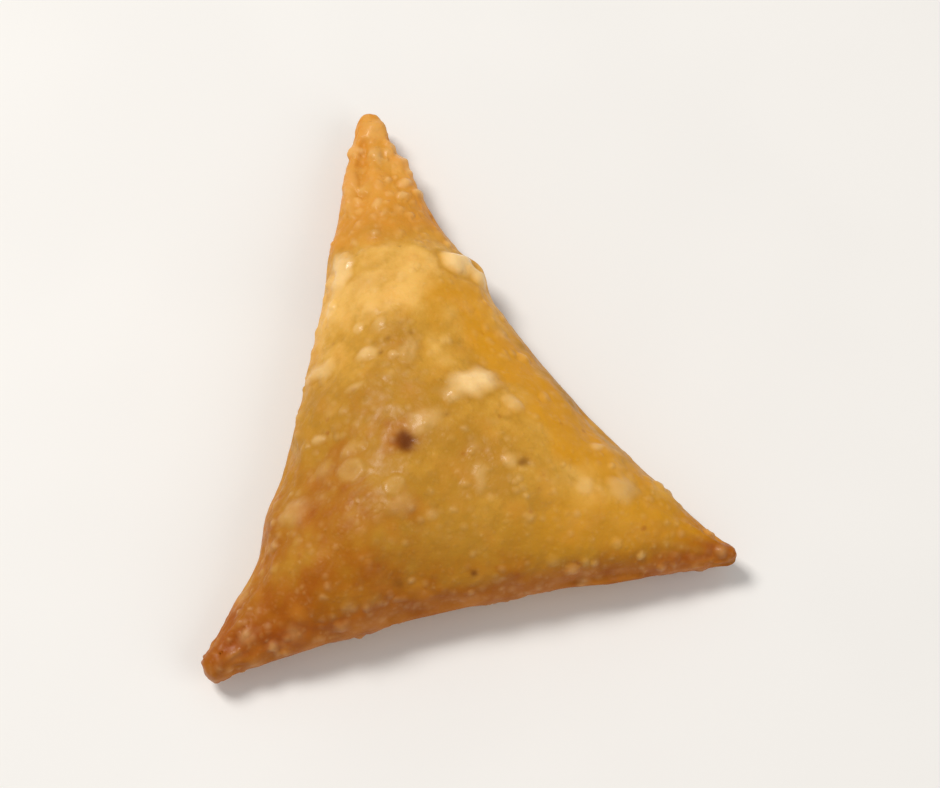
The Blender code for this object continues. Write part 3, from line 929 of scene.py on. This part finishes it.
class Signal:
    """A number socket on which Python's operators add Math nodes."""

    def __init__(self, graph: Graph, socket: bpy.types.NodeSocket) -> None:
        """Wraps a socket of the graph."""
        self.graph = graph
        self.socket = socket

    def _with(self, operation: str, first: Signal | float, second: Signal | float, clamp: bool = False) -> Signal:
        """A Math node on two values."""
        node = self.graph.add(
            "ShaderNodeMath", {"operation": operation, "use_clamp": clamp}, {0: first, 1: second}
        )
        return Signal(self.graph, node.outputs[0])

    def __add__(self, other: Signal | float) -> Signal:
        """This plus other."""
        return self._with("ADD", self, other)

    __radd__ = __add__

    def __sub__(self, other: Signal | float) -> Signal:
        """This less other."""
        return self._with("SUBTRACT", self, other)

    def __rsub__(self, other: float) -> Signal:
        """Other less this."""
        return self._with("SUBTRACT", other, self)

    def __mul__(self, other: Signal | float) -> Signal:
        """This times other."""
        return self._with("MULTIPLY", self, other)

    __rmul__ = __mul__

    def __pow__(self, other: float) -> Signal:
        """This to the power of other."""
        return self._with("POWER", self, other)

    def clamped(self) -> Signal:
        """This, held between 0 and 1."""
        return self._with("ADD", self, 0.0, clamp=True)

    def between(self, low: float, high: float) -> Signal:
        """0 where this is at low and 1 where it is at high, smoothly between them."""
        node = self.graph.add(
            "ShaderNodeMapRange",
            {"interpolation_type": "SMOOTHSTEP"},
            {"Value": self, "From Min": low, "From Max": high, "To Min": 0.0, "To Max": 1.0},
        )
        return Signal(self.graph, node.outputs["Result"])


class Graph:
    """The nodes of one material."""

    def __init__(self, name: str) -> None:
        """Makes an empty material with a Principled shader in its output."""
        self.material = bpy.data.materials.new(name)
        self.material.use_nodes = True
        self.tree = self.material.node_tree
        self.tree.nodes.clear()
        self.output = self.add("ShaderNodeOutputMaterial", {}, {})
        self.shader = self.add("ShaderNodeBsdfPrincipled", {}, {})
        self.link(self.shader.outputs["BSDF"], self.output.inputs["Surface"])
        self.coordinates = self.add("ShaderNodeTexCoord", {}, {}).outputs["Object"]

    def link(self, source: bpy.types.NodeSocket, target: bpy.types.NodeSocket) -> None:
        """Joins two sockets."""
        self.tree.links.new(source, target)

    def add(self, kind: str, settings: dict, sockets: dict) -> bpy.types.Node:
        """Adds a node.

        Args:
            kind: Blender's name of the node's type.
            settings: The node's properties, which are set first.
            sockets: Values, signals or sockets by input name or number.

        Returns:
            The node.
        """
        node = self.tree.nodes.new(kind)
        for name, value in settings.items():
            setattr(node, name, value)
        for key, value in sockets.items():
            self.feed(node.inputs[key], value)
        return node

    def feed(self, target: bpy.types.NodeSocket, value: object) -> None:
        """Links a signal or a socket to an input, or sets its value."""
        if isinstance(value, Signal):
            self.link(value.socket, target)
        elif isinstance(value, bpy.types.NodeSocket):
            self.link(value, target)
        else:
            target.default_value = value

    def attribute(self, name: str) -> Signal:
        """The piece's own number at each vertex."""
        node = self.add("ShaderNodeAttribute", {"attribute_name": name}, {})
        return Signal(self, node.outputs["Fac"])

    def noise(self, size: float, detail: float = 3.0, roughness: float = 0.55, offset: float = 0.0) -> Signal:
        """Noise whose features measure about size millimetres; offset gives another one of the same kind."""
        node = self.add(
            "ShaderNodeTexNoise",
            {"noise_dimensions": "4D"},
            {
                "Vector": self.coordinates,
                "W": offset,
                "Scale": 1.0 / (size * MM),
                "Detail": detail,
                "Roughness": roughness,
            },
        )
        return Signal(self, node.outputs["Fac"])

    def cells(self, size: float, warp: float = 0.0) -> Signal:
        """Distance to the nearest of scattered points, about size millimetres apart, in units of that spacing."""
        place = self.coordinates
        if warp:
            clouds = self.add("ShaderNodeTexNoise", {}, {"Vector": place, "Scale": 0.7 / (size * MM)})
            shift = self.add(
                "ShaderNodeVectorMath",
                {"operation": "MULTIPLY_ADD"},
                {0: clouds.outputs["Color"], 1: (warp * MM,) * 3, 2: place},
            )
            place = shift.outputs["Vector"]
        node = self.add(
            "ShaderNodeTexVoronoi",
            {"feature": "F1"},
            {"Vector": place, "Scale": 1.0 / (size * MM)},
        )
        return Signal(self, node.outputs["Distance"])

    def blend(self, factor: Signal | float, first: object, second: object) -> bpy.types.NodeSocket:
        """A colour that goes from first to second with the factor."""
        node = self.add("ShaderNodeMix", {"data_type": "RGBA", "clamp_factor": True}, {})
        self.feed(node.inputs["Factor"], factor)
        for key, value in ((6, first), (7, second)):
            self.feed(node.inputs[key], (*value, 1.0) if isinstance(value, tuple) else value)
        return node.outputs[2]


def linear(red: int, green: int, blue: int) -> Colour:
    """A display colour of 0 to 255 as linear light of 0 to 1."""
    shares = (value / 255.0 for value in (red, green, blue))
    return tuple(s / 12.92 if s <= 0.04045 else ((s + 0.055) / 1.055) ** 2.4 for s in shares)


@dataclass(frozen=True)
class FriedDoughFinish:
    """Golden fried dough: pale blister skins, orange folds, brown freckles and a thin film of oil, with painted
    light and shade in the browning, the ochre band, the fold edges, the brightest blisters and the grooves.
    """

    straw: Colour = linear(240, 187, 96)
    golden: Colour = linear(210, 154, 54)
    honey: Colour = linear(188, 132, 34)
    tawny: Colour = linear(173, 102, 6)
    brown: Colour = linear(156, 72, 0)
    char: Colour = linear(98, 44, 0)
    # The ochre tone is painted shade along the right side and painted light at the right end of the base.
    ochre_shade_and_light: Colour = linear(216, 147, 14)
    olive: Colour = linear(164, 119, 34)
    rose: Colour = linear(228, 148, 48)
    skin: Colour = linear(255, 214, 146)
    roughness: float = 0.48
    gloss: float = 0.22
    oil: float = 0.08
    oil_roughness: float = 0.14
    translucency: float = 0.06
    translucency_depth: float = 1.2

    def make(self) -> bpy.types.Material:
        """Builds the material.

        Returns:
            A material that reads the crust's attributes for browning, the ochre band, warmth, paleness, spots and
            grooves.
            The grooves are painted shade, the ochre band painted shade and light, and the browning, the warmth along
            the folds and the paleness of the brightest blisters partly painted light and shade.
        """
        graph = Graph("fried_dough")
        tan, ochre_shade_and_light, warm_and_rim_light = graph.attribute("tan"), graph.attribute("ochre_shade_and_light"), graph.attribute("warm_and_rim_light")
        pale_and_highlight, spot, groove_shade = graph.attribute("pale_and_highlight"), graph.attribute("spot"), graph.attribute("groove_shade")
        patchy = graph.noise(4.0, detail=4.0, offset=3.0)
        mottled = graph.noise(1.5, detail=4.0, roughness=0.6, offset=7.0)
        grain = graph.noise(0.45, detail=3.0, roughness=0.6, offset=11.0)
        crowds = graph.noise(5.0, detail=2.0, offset=23.0)
        bubbly = (0.62 - graph.cells(1.7, warp=0.5)).between(0.06, 0.58) * crowds.between(0.40, 0.66)
        fine = (0.6 - graph.cells(0.9, warp=0.5)).between(0.06, 0.55) * (1.0 - crowds).between(0.34, 0.66)

        # The browning carries painted light and shade, and the groove term adds painted shade in the creases and
        # hollows.
        browned_and_shaded = tan + (patchy - 0.5) * 0.22 + (mottled - 0.5) * 0.14 + (grain - 0.5) * 0.08 + groove_shade * 0.22
        colour = graph.blend(browned_and_shaded.between(0.0, 0.34), self.straw, self.golden)
        colour = graph.blend(browned_and_shaded.between(0.26, 0.56), colour, self.honey)
        colour = graph.blend(browned_and_shaded.between(0.54, 0.90), colour, self.tawny)
        colour = graph.blend(browned_and_shaded.between(0.78, 1.20) * 0.9, colour, self.brown)
        colour = graph.blend(mottled.between(0.46, 0.72) * patchy * tan * (2.6 - tan * 2.6), colour, self.olive)
        # The ochre blend paints shade along the right side and light at the right end of the base.
        colour = graph.blend(ochre_shade_and_light * (0.5 + patchy * 0.6), colour, self.ochre_shade_and_light)
        # The rose blend along the folds is a painted highlight of their edges.
        colour = graph.blend(warm_and_rim_light * (0.5 + mottled * 0.6), colour, self.rose)
        freckle = (1.0 - graph.cells(2.6, warp=1.0).between(0.06, 0.24)) * patchy.between(0.50, 0.62)
        colour = graph.blend(freckle * tan.between(0.15, 0.45) * 0.4, colour, self.brown)
        # The pale skin is partly a painted highlight on the brightest blisters and on the bubbles along the folds.
        skin = pale_and_highlight * (0.55 + mottled * 0.7) + bubbly * 0.14 + fine * 0.04
        colour = graph.blend(skin.clamped(), colour, self.skin)
        colour = graph.blend(spot.between(0.0, 1.0) * 0.9, colour, self.char)
        graph.feed(graph.shader.inputs["Base Color"], colour)

        oily = graph.noise(3.2, detail=2.0, offset=17.0).between(0.42, 0.66)
        graph.feed(
            graph.shader.inputs["Roughness"],
            (self.roughness + (grain - 0.5) * 0.3 + spot * 0.3 - oily * 0.08 - pale_and_highlight * 0.06).clamped(),
        )
        graph.feed(graph.shader.inputs["Coat Weight"], (oily * self.oil + pale_and_highlight * 0.45 + bubbly * 0.10).clamped())
        graph.shader.inputs["Coat Roughness"].default_value = self.oil_roughness
        graph.shader.inputs["IOR"].default_value = 1.45
        graph.shader.inputs["Specular IOR Level"].default_value = self.gloss
        graph.shader.inputs["Subsurface Weight"].default_value = self.translucency
        graph.shader.inputs["Subsurface Radius"].default_value = (1.0, 0.45, 0.14)
        graph.shader.inputs["Subsurface Scale"].default_value = self.translucency_depth * MM

        relief = bubbly * 0.75 + fine * 0.25 + mottled * 0.45 + grain * 0.3
        bump = graph.add("ShaderNodeBump", {}, {"Strength": 0.9, "Distance": 0.2 * MM, "Height": relief})
        graph.feed(graph.shader.inputs["Normal"], bump.outputs["Normal"])
        return graph.material


@dataclass(frozen=True)
class PaleFloorFinish:
    """Matt pale floor with a faint unevenness."""

    tone: Colour = linear(243, 241, 238)
    shade: Colour = linear(241, 239, 236)
    roughness: float = 0.55

    def make(self) -> bpy.types.Material:
        """Builds the material."""
        graph = Graph("pale_floor")
        cloudy = graph.noise(60.0, detail=2.0).between(0.4, 0.6)
        graph.feed(graph.shader.inputs["Base Color"], graph.blend(cloudy, self.tone, self.shade))
        graph.shader.inputs["Roughness"].default_value = self.roughness
        return graph.material


# ---------------------------------------------------------------------------------------------------------------
# The samosa and the studio
# ---------------------------------------------------------------------------------------------------------------


@dataclass
class Samosa:
    """The whole samosa as one closed piece of fried dough."""

    node: str = "samosa"
    piece_name: str = "samosa_crust"
    slot: str = "pastry"
    body: str = "root"
    form: FoldedForm = field(default_factory=lambda: FoldedForm(Plan()))
    finish: FriedDoughFinish = FriedDoughFinish()

    def _placed(self, points: np.ndarray) -> np.ndarray:
        """Points in metres in the frame: the box's middle and bottom where the construction model has them."""
        low, high = (np.array(corner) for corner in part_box(self.node))
        own_low, own_high = points.min(axis=0) * MM, points.max(axis=0) * MM
        shift = (low + high) / 2 - (own_low + own_high) / 2
        shift[2] = low[2] - own_low[2]
        return points * MM + shift

    def build(self) -> bpy.types.Object:
        """Builds, dresses and places the piece.

        Returns:
            The piece, riding on the body and standing for the construction node.
        """
        shell = folded_shell(self.form)
        looks = Crust(self.form).fry(shell)
        mesh = bpy.data.meshes.new(self.piece_name)
        mesh.from_pydata(self._placed(shell.points).tolist(), [], shell.triangles.tolist())
        for name, values in looks.items():
            attribute = mesh.attributes.new(name, "FLOAT", "POINT")
            attribute.data.foreach_set("value", values.astype(np.float32))
        mesh.shade_smooth()
        mesh.materials.append(self.finish.make())
        piece = bpy.data.objects.new(self.piece_name, mesh)
        bpy.context.scene.collection.objects.link(piece)
        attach(piece, self.body)
        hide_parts(self.node)
        LOG.info("%s: %d vertices, %d triangles", piece.name, len(shell.points), len(shell.triangles))
        return piece


@dataclass
class Studio:
    """Pale floor, soft light and the camera."""

    azimuth: float = -12.4
    elevation: float = 69.0
    distance: float = 0.53
    lens: float = 135.0
    aim: tuple[float, float, float] = (0.007, -0.0075, 0.008)
    floor_side: float = 3.0
    floor_finish: PaleFloorFinish = PaleFloorFinish()

    def _lay_floor(self) -> None:
        """A flat square below the samosa."""
        half = self.floor_side / 2
        mesh = bpy.data.meshes.new("floor")
        mesh.from_pydata(
            [(-half, -half, 0.0), (half, -half, 0.0), (half, half, 0.0), (-half, half, 0.0)], [], [(0, 1, 2, 3)]
        )
        mesh.materials.append(self.floor_finish.make())
        floor = bpy.data.objects.new("floor", mesh)
        bpy.context.scene.collection.objects.link(floor)

    def _hang_light(self, name: str, place: Colour, side: float, watts: float, colour: Colour) -> None:
        """A square area light that faces the samosa."""
        lamp = bpy.data.lights.new(name, "AREA")
        lamp.shape = "SQUARE"
        lamp.size = side
        lamp.energy = watts
        lamp.color = colour
        light = bpy.data.objects.new(name, lamp)
        light.location = place
        aim = bpy.data.objects["body:root"].location - light.location
        light.rotation_mode = "QUATERNION"
        light.rotation_quaternion = aim.to_track_quat("-Z", "Y")
        bpy.context.scene.collection.objects.link(light)

    def _light_room(self) -> None:
        """Even pale light from all round."""
        world = bpy.data.worlds.new("studio")
        world.use_nodes = True
        background = world.node_tree.nodes["Background"]
        background.inputs["Color"].default_value = (1.0, 0.99, 0.97, 1.0)
        background.inputs["Strength"].default_value = 0.38
        bpy.context.scene.world = world

    def _stand_camera(self) -> None:
        """A long lens at the given azimuth and elevation."""
        a, e = math.radians(self.azimuth), math.radians(self.elevation)
        back = np.array((math.sin(a) * math.cos(e), -math.cos(a) * math.cos(e), math.sin(e)))
        camera = bpy.data.objects.new("camera", bpy.data.cameras.new("camera"))
        camera.data.lens = self.lens
        camera.data.clip_start = 0.01
        camera.data.clip_end = 10.0
        camera.location = np.array(self.aim) + back * self.distance
        camera.rotation_mode = "QUATERNION"
        facing = bpy.data.objects["body:root"].location.copy()
        facing.xyz = -back
        camera.rotation_quaternion = facing.to_track_quat("-Z", "Y")
        bpy.context.scene.collection.objects.link(camera)
        bpy.context.scene.camera = camera

    def build(self) -> None:
        """Sets everything up."""
        bpy.context.scene.view_settings.view_transform = "Standard"
        self._lay_floor()
        self._hang_light("key", (-0.5, 0.55, 1.25), 0.45, 13.2, (1.0, 0.975, 0.94))
        self._hang_light("fill", (0.8, -0.7, 0.9), 0.9, 3.8, (1.0, 0.98, 0.96))
        self._light_room()
        self._stand_camera()
        LOG.info("studio: camera at azimuth %.1f, elevation %.1f", self.azimuth, self.elevation)


def main() -> None:
    """Builds the samosa in its studio."""
    logging.basicConfig(level=logging.INFO, format="%(name)s %(message)s")
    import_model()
    Samosa().build()
    Studio().build()


if __name__ == "__main__":
    main()
